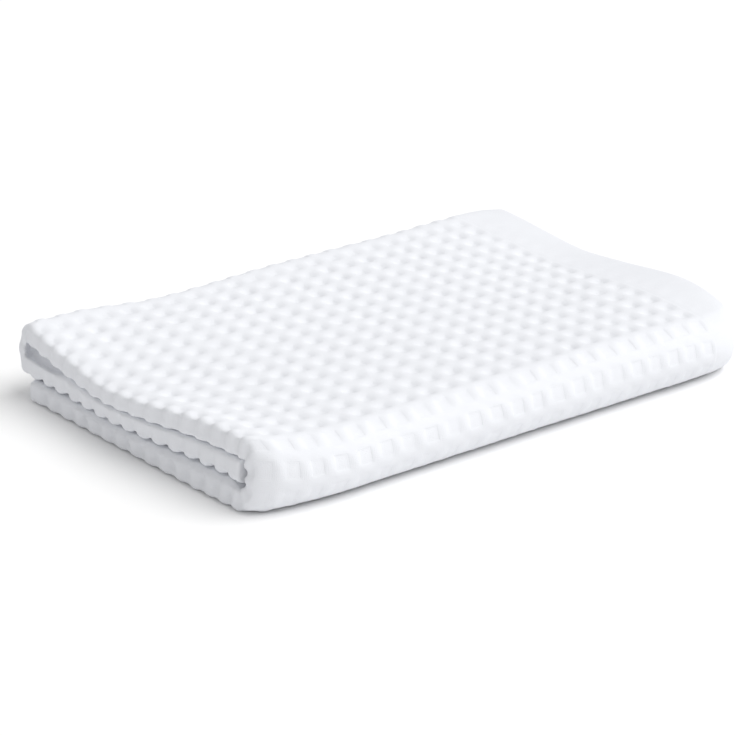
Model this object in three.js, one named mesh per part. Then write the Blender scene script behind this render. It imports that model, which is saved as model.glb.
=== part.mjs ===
// A white waffle hand towel, folded in thirds across its length and then in thirds again.
//
// The towel is one cut length of cloth. First fold: both short ends are turned in over the middle third, so that
// the cloth becomes a strip of three layers with a fold down its left side and the hemmed end on top at the right.
// Second fold: the strip is turned over to the front, and its far end is tucked back inside. That gives three bands
// of three layers: bottom, middle and top. The solid is the section of the strip, swept along the path of the
// second fold, with the unevenness of a real towel put in afterwards.
//
// Millimetres, X along the front, Y to the back, Z up. The towel lies on Z = 0, centred on the origin.

import * as THREE from 'three';

// Driving sizes.
const WIDTH = 240;
const DEPTH = 165;
const LAYER = 2.3;
const LAYER_GAP = 0.3;
const BAND = 3 * LAYER + 2 * LAYER_GAP;
const LEFT_FOLD = 4.2;
const BACK_LEAN = 1.5;
const BOTTOM_END = 153;
const MIDDLE_END = 12;
const INNER_EDGE = 6;

// Shape of the folds in the strip's section, on the outer and the inner side of the band: 1 is round, and less is
// squarer.
const FOLD_SQUARENESS = { outer: 0.6, inner: 0.4 };
const ROUND = { outer: 1, inner: 1 };

// How finely the faces are divided: places across the towel, places along each band, and steps round each fold.
const ACROSS = [16, 40, 75, 110, 145, 180, 210, 228];
const BOTTOM_ROWS = [BOTTOM_END, 120, 90, 60, 32];
const TOP_ROWS = [26, 46, 68, 90, 112, 132, 148];
const MIDDLE_ROWS = [148, 132, 112, 90, 68, 46, 28, MIDDLE_END];
const STEPS = { front: 10, back: 8, left: 8, leftInside: 4, right: 6 };

// The second fold seen from the left end: the heights of the middle lines of the top and middle bands, by their
// distance from the front. The two part towards the back, which leaves a hollow in the back fold. The back fold
// leans out by BACK_LEAN at its foot.
const RUNS = [
  { y: 12, top: 20.6, middle: 12.7 },
  { y: 60, top: 20.6, middle: 12.7 },
  { y: 100, top: 20.6, middle: 12.6 },
  { y: 130, top: 21.6, middle: 12.2 },
  { y: 156, top: 23.4, middle: 11.8 },
];
const FRONT_CENTRE = RUNS[0].y;
const BACK_CENTRE = RUNS[RUNS.length - 1].y;

// Real height of the top face, by the distance from the front, at five places from the left side to the right.
const TOP_HEIGHTS = [
  { y: 0, left: 27.5, nearLeft: 25.0, quarter: 24.2, half: 24.8, threeQuarters: 25.4, right: 21.6 },
  { y: 40, left: 27.4, nearLeft: 24.6, quarter: 24.4, half: 25.4, threeQuarters: 25.8, right: 26.6 },
  { y: 75, left: 24.6, nearLeft: 23.9, quarter: 24.7, half: 26.0, threeQuarters: 26.4, right: 26.0 },
  { y: 100, left: 23.0, nearLeft: 24.4, quarter: 25.8, half: 26.8, threeQuarters: 27.2, right: 25.0 },
  { y: 125, left: 26.0, nearLeft: 26.4, quarter: 27.4, half: 28.0, threeQuarters: 28.4, right: 27.0 },
  { y: 165, left: 31.0, nearLeft: 30.2, quarter: 29.0, half: 30.2, threeQuarters: 30.8, right: 31.4 },
];
const TOP_COLUMNS = [
  { x: 0, name: 'left' },
  { x: 24, name: 'nearLeft' },
  { x: 60, name: 'quarter' },
  { x: 120, name: 'half' },
  { x: 180, name: 'threeQuarters' },
  { x: 240, name: 'right' },
];

// How far the sides stand to the right of a straight towel, by the distance from the front.
const SIDES = [
  { y: 0, leftBottom: 1, leftTop: 4, right: -4 },
  { y: 40, leftBottom: 0, leftTop: 2, right: 1 },
  { y: 80, leftBottom: 0, leftTop: -2, right: -1 },
  { y: 120, leftBottom: 0, leftTop: 0, right: 1 },
  { y: 145, leftBottom: 0, leftTop: 1.5, right: 1.5 },
  { y: 165, leftBottom: 0, leftTop: 4, right: 0 },
];

// How far the front and the back fold stand to the back of a straight towel, by the distance from the left side.
// The corners are rounded back.
const ENDS = [
  { x: 0, front: 9.5, back: -6 },
  { x: 8, front: 4, back: -5 },
  { x: 30, front: 0, back: -4 },
  { x: 60, front: 0, back: -9 },
  { x: 120, front: 0, back: -6 },
  { x: 180, front: 0, back: -5 },
  { x: 215, front: 0.5, back: -2.5 },
  { x: 232, front: 4, back: -4 },
  { x: 240, front: 11, back: -9 },
];

// How far in from a side, the front and the back its unevenness dies away.
const REACH = { side: 70, front: 55, back: 70 };

// Value of a table's column between two rows, without a corner at the rows.
function between(rows, key, at, column) {
  const last = rows.length - 1;
  if (at <= rows[0][key]) return rows[0][column];
  if (at >= rows[last][key]) return rows[last][column];
  const i = rows.findIndex((row) => row[key] >= at) - 1;
  const slope = (a, b) => (rows[b][column] - rows[a][column]) / (rows[b][key] - rows[a][key]);
  const step = rows[i + 1][key] - rows[i][key];
  const t = (at - rows[i][key]) / step;
  const start = i > 0 ? slope(i - 1, i + 1) : slope(i, i + 1);
  const end = i + 1 < last ? slope(i, i + 2) : slope(i, i + 1);
  const a = rows[i][column];
  const b = rows[i + 1][column];
  return (
    a * (1 + 2 * t) * (1 - t) ** 2 +
    b * t * t * (3 - 2 * t) +
    step * start * t * (1 - t) ** 2 -
    step * end * t * t * (1 - t)
  );
}

// The strip's section across the towel: points [x, n], with n the distance outwards from the middle of the band.
// It runs round the hemmed outer layer, the left fold, the inner layers and the right fold.
function stripSection() {
  const half = BAND / 2;
  const fold = LAYER + LAYER_GAP / 2;
  const foldCentre = -half + fold;
  const right = WIDTH - fold;
  const run = (n, from, to) => {
    const inside = ACROSS.filter((x) => x > Math.min(from, to) && x < Math.max(from, to));
    if (from > to) inside.reverse();
    return [from, ...inside, to].map((x) => [x, n]);
  };
  const turn = (centre, radiusX, radiusN, squareness, steps) => {
    const points = [];
    for (let i = 1; i < steps; i += 1) {
      const angle = (Math.PI * i) / steps;
      const power = 2 * i < steps ? squareness.outer : squareness.inner;
      const across = Math.sin(angle) ** power;
      const along = Math.sign(Math.cos(angle)) * Math.abs(Math.cos(angle)) ** power;
      points.push([centre[0] + radiusX * across, centre[1] + radiusN * along]);
    }
    return points;
  };
  return [
    ...run(half, WIDTH, LEFT_FOLD),
    ...turn([LEFT_FOLD, 0], -LEFT_FOLD, half, FOLD_SQUARENESS, STEPS.left),
    ...run(-half, LEFT_FOLD, right),
    ...turn([right, foldCentre], fold, -fold, ROUND, STEPS.right),
    ...run(foldCentre + fold, right, INNER_EDGE),
    ...run(foldCentre + LAYER_GAP / 2, INNER_EDGE, right),
    [right + LAYER_GAP / 2, foldCentre],
    ...run(foldCentre - LAYER_GAP / 2, right, LEFT_FOLD),
    ...turn([LEFT_FOLD, 0], LAYER - LEFT_FOLD, LAYER - half, ROUND, STEPS.leftInside),
    ...run(half - LAYER, LEFT_FOLD, WIDTH),
  ];
}

// The path of the second fold: rows of place and outward direction, from the back end of the bottom band, round
// the front fold, over the top, round the back fold and forward again to the end of the middle band.
function foldPath() {
  const path = [];
  const place = (y, z, outY, outZ) => {
    const length = Math.hypot(outY, outZ);
    path.push({ y, z, outY: outY / length, outZ: outZ / length });
  };
  const bottom = BAND / 2;
  for (const y of BOTTOM_ROWS) place(y, bottom, 0, -1);

  const frontRadius = (RUNS[0].top - bottom) / 2;
  for (let i = 0; i <= STEPS.front; i += 1) {
    const angle = (Math.PI * i) / STEPS.front;
    const outY = -Math.sin(angle);
    const outZ = -Math.cos(angle);
    place(FRONT_CENTRE + frontRadius * outY, bottom + frontRadius * (1 + outZ), outY, outZ);
  }

  const level = (y, band) => between(RUNS, 'y', y, band);
  const slope = (y, band) => (level(y + 1, band) - level(y - 1, band)) / 2;
  for (const y of TOP_ROWS) place(y, level(y, 'top'), -slope(y, 'top'), 1);

  const backTop = level(BACK_CENTRE, 'top');
  const backMiddle = level(BACK_CENTRE, 'middle');
  const backRadius = (backTop - backMiddle) / 2;
  for (let i = 0; i <= STEPS.back; i += 1) {
    const angle = (Math.PI * i) / STEPS.back;
    const outY = Math.sin(angle);
    const outZ = Math.cos(angle);
    const lean = (BACK_LEAN * (1 - outZ)) / 2;
    place(BACK_CENTRE + backRadius * outY + lean, backTop - backRadius * (1 - outZ), outY, outZ);
  }

  for (const y of MIDDLE_ROWS) place(y, level(y, 'middle'), slope(y, 'middle'), -1);
  return path;
}

// Moves a point of the straight, even towel to where it lies in the real one.
function settle(x, y, z) {
  const plainTop = between(RUNS, 'y', y, 'top') + BAND / 2;
  const across = TOP_COLUMNS.map((column) => ({ x: column.x, height: between(TOP_HEIGHTS, 'y', y, column.name) }));
  const height = between(across, 'x', x, 'height');
  const up = THREE.MathUtils.clamp(z / plainTop, 0, 1);
  const near = (distance, reach) => THREE.MathUtils.clamp(1 - distance / reach, 0, 1) ** 2;
  const nearLeft = near(x, REACH.side);
  const nearRight = near(WIDTH - x, REACH.side);
  const nearFront = near(y, REACH.front);
  const nearBack = near(DEPTH - y, REACH.back);
  const leftShift = THREE.MathUtils.lerp(
    between(SIDES, 'y', y, 'leftBottom'),
    between(SIDES, 'y', y, 'leftTop'),
    up,
  );
  return [
    x + leftShift * nearLeft + between(SIDES, 'y', y, 'right') * nearRight,
    y + between(ENDS, 'x', x, 'front') * nearFront + between(ENDS, 'x', x, 'back') * nearBack,
    (z * height) / plainTop,
  ];
}

// One closed mesh: a ring of section points at every row of the path, and a cap at both ends.
function towelGeometry() {
  const section = stripSection();
  const path = foldPath();
  const count = section.length;
  const positions = [];
  for (const row of path) {
    for (const [x, n] of section) {
      positions.push(...settle(x, row.y + n * row.outY, row.z + n * row.outZ));
    }
  }
  const triangles = [];
  for (let r = 0; r + 1 < path.length; r += 1) {
    for (let i = 0; i < count; i += 1) {
      const a = r * count + i;
      const b = r * count + ((i + 1) % count);
      triangles.push(a, b + count, b, a, a + count, b + count);
    }
  }
  const outline = section.map(([x, n]) => new THREE.Vector2(x, n));
  const last = (path.length - 1) * count;
  for (const [a, b, c] of THREE.ShapeUtils.triangulateShape(outline, [])) {
    triangles.push(a, b, c, last + a, last + c, last + b);
  }
  const geometry = new THREE.BufferGeometry();
  geometry.setAttribute('position', new THREE.Float32BufferAttribute(positions, 3));
  geometry.setIndex(triangles);
  return geometry;
}

const waffleCotton = new THREE.MeshStandardMaterial({ color: 0xf4f4f2, roughness: 0.95, metalness: 0 });
const towel = new THREE.Mesh(towelGeometry(), waffleCotton);
towel.name = 'towel';
towel.geometry.computeBoundingBox();
const { min, max } = towel.geometry.boundingBox;
towel.position.set(-(min.x + max.x) / 2, -(min.y + max.y) / 2, -min.z);

const group = new THREE.Group();
group.add(towel);
export default group;
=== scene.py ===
"""A white waffle hand towel, folded in thirds and in thirds again, on a pale studio floor."""

from math import pi, radians

import bpy
import numpy as np
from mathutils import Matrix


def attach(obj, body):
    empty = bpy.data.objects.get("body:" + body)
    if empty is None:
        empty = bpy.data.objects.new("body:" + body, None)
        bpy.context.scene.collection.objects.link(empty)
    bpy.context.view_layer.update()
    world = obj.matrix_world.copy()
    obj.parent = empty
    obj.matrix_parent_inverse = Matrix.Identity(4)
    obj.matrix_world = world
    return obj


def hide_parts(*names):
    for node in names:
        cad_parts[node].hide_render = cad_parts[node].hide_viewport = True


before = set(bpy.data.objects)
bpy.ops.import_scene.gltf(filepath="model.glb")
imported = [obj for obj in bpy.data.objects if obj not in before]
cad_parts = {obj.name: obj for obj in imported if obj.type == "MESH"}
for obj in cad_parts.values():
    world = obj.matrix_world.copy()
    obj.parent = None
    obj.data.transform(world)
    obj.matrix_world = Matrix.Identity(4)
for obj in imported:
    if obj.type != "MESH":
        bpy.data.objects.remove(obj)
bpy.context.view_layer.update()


# Towel cloth: one cut length of white cotton honeycomb cloth, 72 by 47 cm, in millimetres here. Its
# short ends are turned in over the middle third, and the strip is folded in thirds again, so nine layers
# lie in three bands. It is one closed sheet, laid round the same folds as its solid.
WIDTH = 240.0
LAYER = 2.3
LAYER_GAP = 0.3
BAND = 3 * LAYER + 2 * LAYER_GAP
HALF = BAND / 2


def length_along(points):
    steps = np.linalg.norm(np.diff(points, axis=0), axis=1)
    return np.concatenate([[0], np.cumsum(steps)])


# The strip's section as points [x, n]. Its outer side runs from the hem at the top right round the left
# fold, under the strip, round the right fold and back to the turned-in end. Places on it are named by s,
# which is x on the hemmed layer and goes on evenly. The inner side lies between the layers.
STEP = 0.25
LEFT_FOLD = 4.2
LEFT_SQUARENESS = (0.6, 0.22)
RIGHT_FOLD = LAYER + LAYER_GAP / 2
ROUND = (1, 1)
HEM_RADIUS = LAYER / 2
HEM_SQUARENESS = (0.8, 0.8)
HEM_MIDDLE = 3
INNER_EDGE = 6.0
INNER_STEP = 45
UNDER_HEM_STEP = 34


def arc(centre, radius_across, radius_out, squareness, steps):
    """Half a turn as points [x, n]. Squareness is for each half of it: 1 is round, and less is squarer."""
    angle = np.linspace(0, pi, steps + 1)[1:-1]
    squareness = np.where(angle < pi / 2, squareness[0], squareness[1])
    across = np.sin(angle) ** squareness
    out = np.sign(np.cos(angle)) * np.abs(np.cos(angle)) ** squareness
    return np.stack([centre[0] + radius_across * across, centre[1] + radius_out * out], 1)


def straight(start, end, n, step=STEP):
    x = np.linspace(start, end, int(abs(end - start) / step) + 2)
    return np.stack([x, np.full_like(x, n)], 1)


fold_centre = -HALF + RIGHT_FOLD
fold_right = WIDTH - RIGHT_FOLD
edge_start = WIDTH - HEM_RADIUS
hem_arc = arc([edge_start, HALF - HEM_RADIUS], HEM_RADIUS, HEM_RADIUS, HEM_SQUARENESS, steps=8)
hem_upper = hem_arc[HEM_MIDDLE::-1]
hem_lower = hem_arc[:HEM_MIDDLE:-1]
hemmed_face = straight(edge_start, LEFT_FOLD, HALF)
outer_side = np.concatenate(
    [
        hem_upper,
        hemmed_face,
        arc([LEFT_FOLD, 0], -LEFT_FOLD, HALF, LEFT_SQUARENESS, steps=60),
        straight(LEFT_FOLD, fold_right, -HALF),
        arc([fold_right, fold_centre], RIGHT_FOLD, -RIGHT_FOLD, ROUND, steps=30),
        straight(fold_right, INNER_EDGE, fold_centre + RIGHT_FOLD),
    ]
)
outer_s = -length_along(outer_side)
outer_s += LEFT_FOLD - outer_s[len(hem_upper) + len(hemmed_face) - 1]
tangent = np.gradient(outer_side, axis=0)
tangent /= np.linalg.norm(tangent, axis=1)[:, None]
outer_normal = np.stack([tangent[:, 1], -tangent[:, 0]], 1)
inner_side = np.concatenate(
    [
        arc([INNER_EDGE, 0], -HEM_RADIUS, HEM_RADIUS, HEM_SQUARENESS, steps=4),
        straight(INNER_EDGE, fold_right, fold_centre + LAYER_GAP / 2, INNER_STEP),
        [[fold_right + LAYER_GAP / 2, fold_centre]],
        straight(fold_right, LEFT_FOLD, fold_centre - LAYER_GAP / 2, INNER_STEP),
        arc([LEFT_FOLD, 0], LAYER - LEFT_FOLD, LAYER - HALF, ROUND, steps=6),
        straight(LEFT_FOLD, edge_start, HALF - LAYER, UNDER_HEM_STEP),
        hem_lower,
    ]
)

# The path of the second fold: from the back end of the bottom band round the front fold, over the top,
# round the back fold and forward again under the top. Each place has a y, a z and an outward direction.
# A run holds the heights of a band's middle line, by the distance from the front.
RUN_PLACES = [12, 60, 100, 130, 156]
TOP_RUN = [20.6, 20.6, 20.6, 21.6, 23.4]
MIDDLE_RUN = [12.7, 12.7, 12.6, 12.2, 11.8]
BOTTOM_RUN = [HALF] * len(RUN_PLACES)
FRONT_CENTRE = RUN_PLACES[0]
BACK_CENTRE = RUN_PLACES[-1]
BACK_LEAN = 1.5
BOTTOM_END = 153.0
MIDDLE_END = 12.0
TURN_POINTS = 100


def between(places, values, at):
    """Values of a table at each place, without corners. Values are one list, or a list for each place."""
    places = np.asarray(places, float)
    values = np.asarray(values, float)
    if values.ndim == 1:
        values = np.repeat(values[:, None], at.size, 1)
    steps = np.diff(places)
    slopes = np.empty_like(values)
    slopes[0] = (values[1] - values[0]) / steps[0]
    slopes[-1] = (values[-1] - values[-2]) / steps[-1]
    slopes[1:-1] = (values[2:] - values[:-2]) / (places[2:] - places[:-2])[:, None]
    at = np.clip(at, places[0], places[-1])
    i = np.clip(np.searchsorted(places, at, side="right") - 1, 0, len(places) - 2)
    t = (at - places[i]) / steps[i]

    def row(table, index):
        return np.take_along_axis(table, index[None], 0)[0]

    return (
        row(values, i) * (1 + 2 * t) * (1 - t) ** 2
        + row(values, i + 1) * t * t * (3 - 2 * t)
        + steps[i] * row(slopes, i) * t * (1 - t) ** 2
        - steps[i] * row(slopes, i + 1) * t * t * (1 - t)
    )


def level(y, run):
    return between(RUN_PLACES, run, y)


def slope(y, run):
    return (level(y + 1, run) - level(y - 1, run)) / 2


def flat_run(start, end, run, side):
    """The path along a band. Side is 1 where its outer face looks up, and -1 where it looks down."""
    y = np.linspace(start, end, int(abs(end - start) / STEP) + 2)[1:-1]
    return np.stack([y, level(y, run), -side * slope(y, run), np.full_like(y, side)], 1)


def half_turn(start_y, start_z, radius, way, lean=0.0):
    """The path round a fold. Way is -1 up the front and 1 down the back."""
    turn = np.linspace(0, pi, TURN_POINTS)
    out, along = np.sin(turn), 1 - np.cos(turn)
    y = start_y + way * radius * out + lean * along / 2
    z = start_z - way * radius * along
    return np.stack([y, z, way * out, way * np.cos(turn)], 1)


path = np.concatenate(
    [
        [[BOTTOM_END, HALF, 0, -1]],
        flat_run(BOTTOM_END, FRONT_CENTRE, BOTTOM_RUN, -1),
        half_turn(FRONT_CENTRE, HALF, (TOP_RUN[0] - HALF) / 2, -1),
        flat_run(FRONT_CENTRE, BACK_CENTRE, TOP_RUN, 1),
        half_turn(BACK_CENTRE, TOP_RUN[-1], (TOP_RUN[-1] - MIDDLE_RUN[-1]) / 2, 1, BACK_LEAN),
        flat_run(BACK_CENTRE, MIDDLE_END, MIDDLE_RUN, -1),
        [[MIDDLE_END, MIDDLE_RUN[0], 0, -1]],
    ]
)
path[:, 2:] /= np.linalg.norm(path[:, 2:], axis=1)[:, None]

# How the towel has settled. First the real height of its top face: a row for each distance from the left
# side, and a column for each from the front. Then how far its sides stand to the right, and its ends to
# the back, of a straight towel.
DEPTH = 165.0
HEIGHT_ACROSS = [0, 24, 60, 120, 180, 240]
HEIGHT_PLACES = [0, 40, 75, 100, 125, 165]
HEIGHTS = [
    [27.5, 27.4, 24.6, 23.0, 26.0, 31.0],
    [25.0, 24.6, 23.9, 24.4, 26.4, 30.2],
    [24.2, 24.4, 24.7, 25.8, 27.4, 29.0],
    [24.8, 25.4, 26.0, 26.8, 28.0, 30.2],
    [25.4, 25.8, 26.4, 27.2, 28.4, 30.8],
    [21.6, 26.6, 26.0, 25.0, 27.0, 31.4],
]
SIDE_PLACES = [0, 40, 80, 120, 145, 165]
LEFT_BOTTOM = [1, 0, 0, 0, 0, 0]
LEFT_TOP = [4, 2, -2, 0, 1.5, 4]
RIGHT_SIDE = [-4, 1, -1, 1, 1.5, 0]
END_PLACES = [0, 8, 30, 60, 120, 180, 215, 232, 240]
FRONT_END = [9.5, 4, 0, 0, 0, 0, 0.5, 4, 11]
BACK_END = [-6, -5, -4, -9, -6, -5, -2.5, -4, -9]
SIDE_REACH = 70.0
FRONT_REACH = 55.0
BACK_REACH = 70.0


def near(distance, reach):
    """How much of a shift is left at a distance from the side or end that it belongs to."""
    return np.clip(1 - distance / reach, 0, 1) ** 2


def settle(x, y, z):
    """Moves points of the straight, even towel to where they lie in the real one."""
    plain_top = level(y, TOP_RUN) + HALF
    height = between(HEIGHT_ACROSS, [between(HEIGHT_PLACES, row, y) for row in HEIGHTS], x)
    up = np.clip(z / plain_top, 0, 1)
    left = (1 - up) * between(SIDE_PLACES, LEFT_BOTTOM, y) + up * between(SIDE_PLACES, LEFT_TOP, y)
    right = between(SIDE_PLACES, RIGHT_SIDE, y)
    front = between(END_PLACES, FRONT_END, x)
    back = between(END_PLACES, BACK_END, x)
    return np.stack(
        [
            x + left * near(x, SIDE_REACH) + right * near(WIDTH - x, SIDE_REACH),
            y + front * near(y, FRONT_REACH) + back * near(DEPTH - y, BACK_REACH),
            z * height / plain_top,
        ],
        axis=-1,
    )


outer_line = path[:, :2] + HALF * path[:, 2:]
outer_line = settle(np.full(len(path), WIDTH / 2), outer_line[:, 0], outer_line[:, 1])
path_c = length_along(outer_line)

# The pits are counted by u across and by v towards the front: a column at every COLUMN_PITCH from
# FIRST_COLUMN, and a row at every ROW_PITCH from FIRST_ROW on top. Places along the path are named by c,
# its length on the outer side. The cloth is drawn a little longer round the front fold.
COLUMN_PITCH = 10.0
FIRST_COLUMN = 2.6
LAST_COLUMN = 21
ROW_PITCH = 9.24
FOLD_PITCH = 10.1
FIRST_ROW = 126.6
ROW_PLACES = np.array([-40, 12.5, 15.5, 50])
FACES_UP = 0.9
on_top = (path[:, 3] > FACES_UP) & (path[:, 1] > HALF + BAND)
row_zero = np.interp(FIRST_ROW, outer_line[on_top, 1], path_c[on_top])
row_steps = np.diff(ROW_PLACES) * [ROW_PITCH, FOLD_PITCH, ROW_PITCH]
row_lengths = np.cumsum([ROW_PLACES[0] * ROW_PITCH, *row_steps])


def row_at(c):
    return np.interp(row_zero - c, row_lengths, ROW_PLACES)


def length_at(v):
    return row_zero - np.interp(v, ROW_PLACES, row_lengths)


# Mesh lines: a pit that shows has lines at its middle, at the foot and top of its walls, and along its
# ridges. Hidden rows have fewer, and layers inside the strip have only what their folds need.
FINE_LINES = np.array([-0.5, -0.36, -0.25, -0.13, 0, 0.13, 0.25, 0.36])
COARSE_LINES = np.array([-0.5, -0.3, -0.12, 0.12, 0.3])
FINE_ROWS = range(-6, 17)
COARSE_ROWS = [*range(-30, -6), *range(17, 40)]
FINE_COLUMNS = [*range(-25, -23), *range(-2, LAST_COLUMN + 1)]
END_STEPS = np.array([0, 0.12, 0.45, 1.1])
END_CLEARANCE = 1.8
HEM_LINES = [220, 223, 226, 229, 232, 235, 237.2, edge_start]
CORNER_LINES = [-7.9, -8.3, -8.7, -9.1, -10]
UNDER_LINES = np.arange(-40, -225, -20)
INSIDE_LINES = np.arange(-270, outer_s[-1] + 10, -35)
row_lines = [j + FINE_LINES for j in FINE_ROWS] + [j + COARSE_LINES for j in COARSE_ROWS]
row_c = np.sort(length_at(np.concatenate(row_lines)))
row_c = row_c[(row_c > END_CLEARANCE) & (row_c < path_c[-1] - END_CLEARANCE)]
row_c = np.concatenate([END_STEPS, row_c, path_c[-1] - END_STEPS[::-1]])
columns = np.concatenate([*[k + FINE_LINES for k in FINE_COLUMNS], [LAST_COLUMN + 0.5]])
column_s = FIRST_COLUMN + COLUMN_PITCH * columns
hem_corner_s = outer_s[: len(hem_upper)]
ring_s = [hem_corner_s, HEM_LINES, column_s, CORNER_LINES, UNDER_LINES, INSIDE_LINES, outer_s[-1:]]
ring_s = np.sort(np.concatenate(ring_s))[::-1]


# Relief: how deep each place lies below the outermost yarns. On top and below, the pits are round and
# deep. Round the front and back folds, where the cloth is drawn tight, they are shallow flat squares, and
# round the left fold only ribs are left. The yarns float over the ridges and bulge in the middle of each.
PIT_DEPTH = 0.95
SQUARE_DEPTH = 0.3
RIB_DEPTH = 1.4
ROUND_POWER = 3
SQUARE_POWER = 7

# A pair is where a change begins and where it is complete. Two pairs are a rise and a fall.
ROUND_WALL = (0.02, 0.4)
SQUARE_WALL = (0.22, 0.36)
RIB_WALL = (0.1, 0.42)
FRONT_FOLD_ROWS = ((12.2, 13.4), (15.6, 16.6))
BACK_FOLD_ROWS = ((1.4, 2.5), (6.4, 7.4))
BACK_RIBS_LOST = 0.6
BACK_FLOATS_LOST = 0.7
FLOAT_BULGE_BACK = 0.27
FLOAT_BULGE_ACROSS = 0.14
FLOAT_WIDTH = (0, 0.22)
FLOAT_LENGTH = (0.15, 0.44)
END_EASE = (1.5, 7)

# Where the ribs of the left fold begin below it and end above it, which is sooner on the front fold.
RIBS_BELOW = (-10, -6)
RIBS_ABOVE = (0, 5.5)
RIBS_ABOVE_AT_FRONT = (-3, 1.5)

# How strong the relief is by s: full on the hemmed layer, and weaker round the folds and on the hem.
STRENGTH_PLACES = [-262, -252, -236, -226, -24, -16, -9, -6, -3, 0, 3, 6, 217, 218.5, 228, 230]
STRENGTHS = [0, 0.6, 0.6, 0, 0, 0.3, 0.3, 0.5, 0.65, 0.9, 1, 1, 1, 0.26, 0.26, 0]

# The left end of the bands: flattened where one presses on the next, and deeper at the lower edge.
CORNER_LOST = 0.6
CORNER_ROWS = (15.5, 17)
CORNER_PLACES = ((-3, 1), (4, 12))
PRESSED_LOST = 0.85
PRESSED_ROWS_END = (15, 17)
PRESSED_PLACES = (6, 9)
LOWER_EDGE_GAIN = 0.9
LOWER_EDGE_ROWS = (16, 17.5)
LOWER_EDGE_PLACES = ((0.5, 3), (8, 11))

# No two pits are quite alike: tables of their depths, and of where and how high the ridges cross.
TABLE_LOW = (-30, -40)
TABLE_SIZE = (60, 90)
TABLE_MARGIN = 1.01
DEPTH_SPREAD = 0.1
SHIFT_SPREAD = 0.035
HEIGHT_SPREAD = 0.08
rng = np.random.default_rng(11)
pit_depths = rng.normal(1, DEPTH_SPREAD, TABLE_SIZE)
ridge_shift_u = rng.normal(0, SHIFT_SPREAD, TABLE_SIZE)
ridge_shift_v = rng.normal(0, SHIFT_SPREAD, TABLE_SIZE)
ridge_height = rng.normal(0, HEIGHT_SPREAD, TABLE_SIZE)


def smooth(value, low, high):
    """From 0 at the low place to 1 at the high one, without a corner at either."""
    t = np.clip((value - low) / (high - low), 0, 1)
    return t * t * (3 - 2 * t)


def within(value, rise, fall):
    """1 between two edges and 0 outside them. Each edge is a pair of places with a soft step between."""
    return smooth(value, *rise) * (1 - smooth(value, *fall))


def at_crossings(table, u, v):
    """A value between the four ridge crossings round a place."""
    a = np.clip(u - 0.5 - TABLE_LOW[0], 0, TABLE_SIZE[0] - TABLE_MARGIN)
    b = np.clip(v - 0.5 - TABLE_LOW[1], 0, TABLE_SIZE[1] - TABLE_MARGIN)
    i, j = a.astype(int), b.astype(int)
    a, b = a - i, b - j
    lower = table[i, j] * (1 - b) + table[i, j + 1] * b
    upper = table[i + 1, j] * (1 - b) + table[i + 1, j + 1] * b
    return lower * (1 - a) + upper * a


def pit(across, along, wall, power):
    """1 in a pit and 0 on its ridges. A higher power makes it squarer."""
    return 1 - smooth((across**power + along**power) ** (1 / power), *wall)


def float_bulge(from_ridge, along_ridge):
    return (1 - smooth(from_ridge, *FLOAT_WIDTH)) * (1 - smooth(along_ridge, *FLOAT_LENGTH))


def from_end(c):
    return np.minimum(c, path_c[-1] - c)


def relief(s, u, v, c):
    """Depth at s round the strip and c along the path. The same place is u and v, counted in pits."""
    k, j = np.round(u), np.round(v)
    across, along = np.abs(u - k), np.abs(v - j)
    depth = pit_depths[(k - TABLE_LOW[0]).astype(int), (j - TABLE_LOW[1]).astype(int)]
    on_front = within(v, *FRONT_FOLD_ROWS)
    on_back = within(-v, *BACK_FOLD_ROWS)
    tight = on_front + on_back
    ribs_above = [a + (b - a) * on_front for a, b in zip(RIBS_ABOVE, RIBS_ABOVE_AT_FRONT)]
    on_fold = within(s, RIBS_BELOW, ribs_above)
    round_pit = PIT_DEPTH * pit(across, along, ROUND_WALL, ROUND_POWER)
    square_pit = SQUARE_DEPTH * pit(across, along, SQUARE_WALL, SQUARE_POWER)
    rib = RIB_DEPTH * (1 - BACK_RIBS_LOST * on_back) * (1 - smooth(along, *RIB_WALL))
    pits = (round_pit * (1 - tight) + square_pit * tight) * (1 - on_fold) + rib * on_fold
    bulge = FLOAT_BULGE_BACK * float_bulge(0.5 - across, along)
    bulge = np.maximum(bulge, FLOAT_BULGE_ACROSS * float_bulge(0.5 - along, across))
    floats = (FLOAT_BULGE_BACK - bulge) * (1 - on_fold) * (1 - BACK_FLOATS_LOST * on_back)
    strength = np.interp(s, STRENGTH_PLACES, STRENGTHS) * smooth(from_end(c), *END_EASE)
    corner = CORNER_LOST * smooth(v, *CORNER_ROWS) * within(s, *CORNER_PLACES)
    pressed = PRESSED_LOST * smooth(-s, *PRESSED_PLACES) * (1 - smooth(v, *PRESSED_ROWS_END))
    lower_edge = LOWER_EDGE_GAIN * smooth(v, *LOWER_EDGE_ROWS) * within(-s, *LOWER_EDGE_PLACES)
    return strength * (1 - corner) * (1 - pressed + lower_edge) * (pits * depth + floats)


# The left edge has settled too: the bands swell there until they nearly meet. Only the back fold keeps a
# shallow hollow, with the cloth bunched behind it. First come places by v, then by y, then below s = 0.
HOLLOW_DEPTH = 1.0
CLOSE_GAP = 0.08
BOTTOM_BAND_ROWS = (16, 17)
TOP_BAND_ROWS_END = (11.5, 12.5)
BEHIND_FRONT_FOLD = (13, 20)
NEAR_BACK_FOLD = (122, 140)
SWELL_START = (6.5, 8.5)
SWELL_END = (18, 39)
HOLLOW_START = (5, 8.5)
HOLLOW_END = (8.5, 12)


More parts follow.
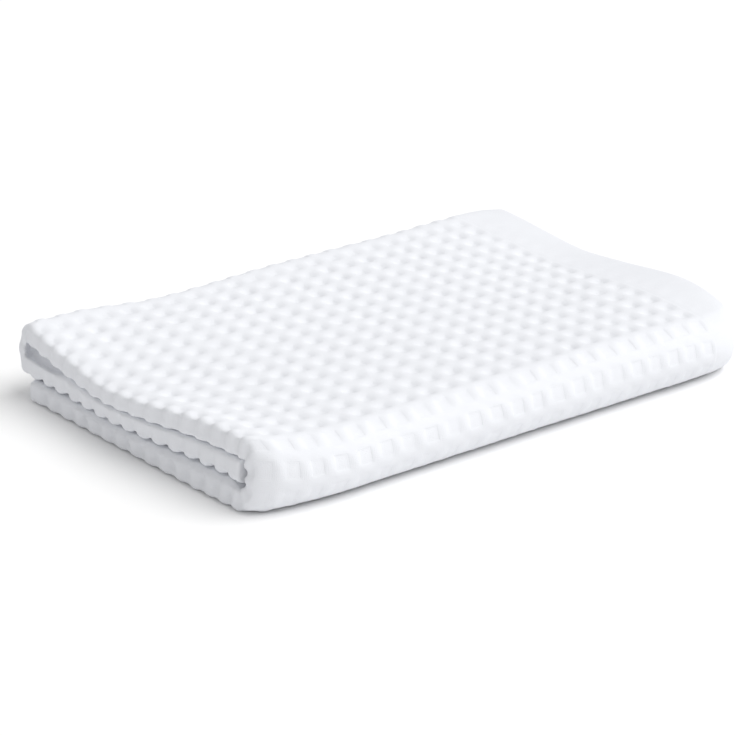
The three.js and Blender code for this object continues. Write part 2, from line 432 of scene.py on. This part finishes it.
def settled_edge(s, v, row_y):
    """How far the left edge has sunk in, or swelled where it is negative."""
    upper_gap = (level(row_y, TOP_RUN) - level(row_y, MIDDLE_RUN) - BAND)[:, None]
    lower_gap = (level(row_y, MIDDLE_RUN) - HALF - BAND)[:, None]
    y = row_y[:, None]
    bottom = smooth(v, *BOTTOM_BAND_ROWS)
    upper = (1 - bottom) * (1 - smooth(v, *TOP_BAND_ROWS_END)) * (upper_gap - CLOSE_GAP) / 2
    lower = bottom * smooth(y, *BEHIND_FRONT_FOLD) * (lower_gap - CLOSE_GAP)
    near_back = smooth(y, *NEAR_BACK_FOLD) * (1 - bottom)
    edge = within(-s, SWELL_START, SWELL_END)
    behind = within(-s, HOLLOW_END, SWELL_END)
    swell = (upper * (1 - near_back) + lower) * edge + upper * near_back * behind
    return HOLLOW_DEPTH * near_back * within(-s, HOLLOW_START, HOLLOW_END) - swell


# The sheet: a ring of points round the strip for each row, pushed in by the relief, bent along the path,
# settled, and moved by PLACE into the shared frame. Its ridges wander a little where it is woven in cells.
MM = 0.001
PLACE = np.array([-119.899, -81.548, 0.0])
WOVEN_PLACES = [-252, -240, -225, -20, -9, 4, 217, 222]
WOVEN = [1, 1, 0, 0, 0.5, 1, 1, 0]
WANDER_EASE = (2, 8)
END_RADIUS = 1.0
s, c = np.meshgrid(ring_s, row_c)
u = (s - FIRST_COLUMN) / COLUMN_PITCH
v = row_at(c)
wander = np.interp(s, WOVEN_PLACES, WOVEN) * smooth(from_end(c), *WANDER_EASE)
s_real = s + wander * COLUMN_PITCH * at_crossings(ridge_shift_u, u, v)
c_real = c + wander * ROW_PITCH * at_crossings(ridge_shift_v, u, v)
outer_x, outer_n, normal_x, normal_n = (
    np.interp(s_real, outer_s[::-1], values[::-1]) for values in [*outer_side.T, *outer_normal.T]
)
rows, outer_count = s.shape
inner_count = len(inner_side)
count = outer_count + inner_count


def with_inner(outer, inner):
    """The outer side's values in each row, followed by the inner side's, which are the same in all rows."""
    return np.concatenate([outer, np.repeat(inner[None], rows, 0)], 1)


x_all = with_inner(outer_x, inner_side[:, 0])
n_all = with_inner(outer_n, inner_side[:, 1])
c_all = np.concatenate([c_real, np.repeat(row_c[:, None], inner_count, 1)], 1)
around_x = np.roll(x_all[0], -1) - np.roll(x_all[0], 1)
around_n = np.roll(n_all[0], -1) - np.roll(n_all[0], 1)
around = np.hypot(around_x, around_n)
inner_normal_x = (around_n / around)[outer_count:]
inner_normal_n = (-around_x / around)[outer_count:]

row_y = np.interp(row_c, path_c, path[:, 0])
deep = relief(s, u, v, c) + settled_edge(s, v, row_y)
deep += wander * np.abs(at_crossings(ridge_height, u, v))
rounding = np.clip(1 - from_end(row_c) / END_RADIUS, 0, 1)
inset = END_RADIUS * (1 - np.sqrt(1 - rounding**2))
deep = with_inner(deep, np.zeros(inner_count)) + inset[:, None]
x_all -= deep * with_inner(normal_x, inner_normal_x)
n_all -= deep * with_inner(normal_n, inner_normal_n)
path_y, path_z, out_y, out_z = (np.interp(c_all, path_c, values) for values in path.T)
y_all = path_y + n_all * out_y
z_all = path_z + n_all * out_z
points = settle(x_all.ravel(), y_all.ravel(), z_all.ravel()) + PLACE
points[:, 2] = np.maximum(points[:, 2], 0)

corner = np.arange((rows - 1) * count).reshape(rows - 1, count)
after = np.roll(corner, -1, axis=1)
quads = np.stack([corner, corner + count, after + count, after], -1).reshape(-1, 4)
first_cap = list(range(count))
last_cap = list(range(rows * count - 1, (rows - 1) * count - 1, -1))
mesh = bpy.data.meshes.new("towel_cloth")
mesh.from_pydata((points * MM).tolist(), [], [*quads.tolist(), first_cap, last_cap])
mesh.validate()
mesh.shade_smooth()
u_all = with_inner(u, (inner_side[:, 0] - FIRST_COLUMN) / COLUMN_PITCH)
v_all = np.repeat(row_at(row_c)[:, None], count, 1)
cells = np.stack([u_all.ravel(), v_all.ravel()], 1)
corners = np.empty(len(mesh.loops), int)
mesh.loops.foreach_get("vertex_index", corners)
mesh.uv_layers.new(name="cloth").data.foreach_set("uv", cells[corners].ravel())
towel = bpy.data.objects.new("towel_cloth", mesh)
bpy.context.scene.collection.objects.link(towel)


# The cotton: its yarns float along the ridges, cross closely in the pits, and are plainly woven in the
# hem. They are too fine for the mesh, as are the sharp walls of the pits and of the squares round the
# folds. Places are counted in cells, as u and v are. CELL_SHIFT puts halves at the middles of the cells.
YARNS_IN_CELL = 15
CELL_SHIFT = 40.5
HEM_START = LAST_COLUMN + 0.55
FIBRE_SCALE = 22.0
TONE_SCALE = 0.8
SHADED_COTTON = (0.81, 0.822, 0.856, 1)
BRIGHT_COTTON = (0.85, 0.862, 0.896, 1)

# The sharp walls, by their distance from the middle of a round pit, and of a square. Then where there are
# such walls at all, where there are squares, and the tones between which they fade: from none to full.
WALL_FOOT = (0.09, 0.24)
WALL_TOP = (0.27, 0.32)
WAFFLE_LEFT = (-0.5, -0.35)
WAFFLE_RIGHT = (21.5, 21.4)
SHARP_FRONT = ((12.2, 12.7), (15.9, 14.4))
SHARP_BACK = ((-2.2, -2.7), (-6.7, -6.2))
UNEVEN_TONES = (0.25, 0.65)

# The strength of each bump, and its height in metres.
WALL_BUMP = (1.0, 0.00013)
FUZZ_BUMP = (0.35, 0.0004)
YARN_BUMP = (0.15, 0.00006)


def add_node(tree, kind, inputs=(), **settings):
    """A shader node. Each of its inputs is a number, a colour, or the output that it is linked from."""
    node = tree.nodes.new(kind)
    for name, value in settings.items():
        setattr(node, name, value)
    for name, value in dict(inputs).items():
        if isinstance(value, bpy.types.NodeSocket):
            tree.links.new(value, node.inputs[name])
        else:
            node.inputs[name].default_value = value
    return node


def calculate(tree, operation, a, b=0.0):
    return add_node(tree, "ShaderNodeMath", {0: a, 1: b}, operation=operation).outputs[0]


def ease(tree, value, start, end):
    """From 0 at the start to 1 at the end, without a corner at either."""
    inputs = {"Value": value, "From Min": start, "From Max": end}
    return add_node(tree, "ShaderNodeMapRange", inputs, interpolation_type="SMOOTHSTEP").outputs[0]


def ease_both(tree, value, rise, fall):
    return calculate(tree, "MULTIPLY", ease(tree, value, *rise), ease(tree, value, *fall))


def blend(tree, share, first, second):
    inputs = {0: share, 2: first, 3: second}
    return add_node(tree, "ShaderNodeMix", inputs, data_type="FLOAT").outputs[0]


def bump(tree, raised, strength, height, below=None):
    """Raises the surface where raised is 1, on top of the bump below it."""
    inputs = {"Height": raised, "Strength": strength, "Distance": height}
    if below is not None:
        inputs["Normal"] = below
    return add_node(tree, "ShaderNodeBump", inputs).outputs[0]


cotton = bpy.data.materials.new("waffle_cotton")
cotton.use_nodes = True
tree = cotton.node_tree
shader = tree.nodes["Principled BSDF"]
uv = add_node(tree, "ShaderNodeUVMap", uv_map="cloth").outputs["UV"]
split = add_node(tree, "ShaderNodeSeparateXYZ", {"Vector": uv})
across, along = split.outputs["X"], split.outputs["Y"]
distances = []
stripes = []
for place in (across, along):
    in_cell = calculate(tree, "FRACT", calculate(tree, "ADD", place, CELL_SHIFT))
    distances.append(calculate(tree, "ABSOLUTE", calculate(tree, "SUBTRACT", in_cell, 0.5)))
    stripes.append(calculate(tree, "SINE", calculate(tree, "MULTIPLY", place, 2 * pi * YARNS_IN_CELL)))
along_ridge = calculate(tree, "GREATER_THAN", distances[0], distances[1])
from_middle = calculate(tree, "MAXIMUM", distances[0], distances[1])
yarns = blend(tree, along_ridge, stripes[1], stripes[0])
plain_weave = calculate(tree, "MULTIPLY", stripes[0], stripes[1])
in_hem = calculate(tree, "GREATER_THAN", across, HEM_START)
weave = blend(tree, in_hem, yarns, plain_weave)
fibre_inputs = {"Vector": uv, "Scale": FIBRE_SCALE, "Detail": 2.0, "Roughness": 0.7}
fibres = add_node(tree, "ShaderNodeTexNoise", fibre_inputs).outputs[0]
tone_inputs = {"Vector": uv, "Scale": TONE_SCALE, "Detail": 1.0}
tone = add_node(tree, "ShaderNodeTexNoise", tone_inputs).outputs[0]

on_front = ease_both(tree, along, *SHARP_FRONT)
on_back = ease_both(tree, along, *SHARP_BACK)
tight = calculate(tree, "ADD", on_front, on_back)
foot = blend(tree, tight, *WALL_FOOT)
top = blend(tree, tight, *WALL_TOP)
evenness = blend(tree, tight, 1.0, ease(tree, tone, *UNEVEN_TONES))
pit_wall = calculate(tree, "MULTIPLY", ease(tree, from_middle, foot, top), evenness)
in_waffle = ease_both(tree, across, WAFFLE_LEFT, WAFFLE_RIGHT)
pit_wall = calculate(tree, "MULTIPLY", pit_wall, in_waffle)
squares = bump(tree, pit_wall, *WALL_BUMP)
fuzz = bump(tree, fibres, *FUZZ_BUMP, squares)
weave_bump = bump(tree, weave, *YARN_BUMP, fuzz)
colours = {0: tone, 6: SHADED_COTTON, 7: BRIGHT_COTTON}
colour = add_node(tree, "ShaderNodeMix", colours, data_type="RGBA").outputs[2]
tree.links.new(colour, shader.inputs["Base Color"])
tree.links.new(weave_bump, shader.inputs["Normal"])
shader.inputs["Roughness"].default_value = 0.92
shader.inputs["Specular IOR Level"].default_value = 0.2
mesh.materials.append(cotton)
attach(towel, "root")
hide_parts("towel")


# Studio floor: a wide sweep of white paper that the towel lies on.
# It isn't part of the object.
FLOOR_SIZE = 8
bpy.ops.mesh.primitive_plane_add(size=FLOOR_SIZE)
floor = bpy.context.object
floor.name = "studio_floor"
paper = bpy.data.materials.new("white_paper")
paper.use_nodes = True
paper_shader = paper.node_tree.nodes["Principled BSDF"]
paper_shader.inputs["Base Color"].default_value = (0.98, 0.98, 0.98, 1)
paper_shader.inputs["Roughness"].default_value = 1.0
paper_shader.inputs["Specular IOR Level"].default_value = 0.0
floor.data.materials.append(paper)


# Light: one wide soft light, high at the front right, and an even white room.
# Its angles are in degrees, and its heading is turned to the right from straight in front.
KEY_HEADING = 47
KEY_HEIGHT = 54
KEY_WIDTH = 58
KEY_STRENGTH = 2.15
ROOM_STRENGTH = 0.52
key_light = bpy.data.lights.new("key_light", "SUN")
key_light.angle = radians(KEY_WIDTH)
key_light.energy = KEY_STRENGTH
key_holder = bpy.data.objects.new("key_light", key_light)
key_holder.rotation_euler = (radians(90 - KEY_HEIGHT), 0, radians(KEY_HEADING))
bpy.context.scene.collection.objects.link(key_holder)
room = bpy.data.worlds.new("white_room")
room.use_nodes = True
background = room.node_tree.nodes["Background"]
background.inputs["Color"].default_value = (1, 1, 1, 1)
background.inputs["Strength"].default_value = ROOM_STRENGTH
bpy.context.scene.world = room
bpy.context.scene.view_settings.view_transform = "Standard"


# Camera: a long lens from the front left, looking down at the towel. Its place is in metres, and its
# angles are in degrees, with no tilt for straight down and no heading for straight to the back.
CAMERA_PLACE = (-0.5234, -0.6355, 0.3135)
CAMERA_TILT = 69.47
CAMERA_HEADING = -38.91
FOCAL_LENGTH = 111.7
SENSOR_WIDTH = 36
NEAREST = 0.01
camera = bpy.data.objects.new("camera", bpy.data.cameras.new("camera"))
camera.data.lens = FOCAL_LENGTH
camera.data.sensor_width = SENSOR_WIDTH
camera.data.clip_start = NEAREST
camera.location = CAMERA_PLACE
camera.rotation_euler = (radians(CAMERA_TILT), 0, radians(CAMERA_HEADING))
bpy.context.scene.collection.objects.link(camera)
bpy.context.scene.camera = camera
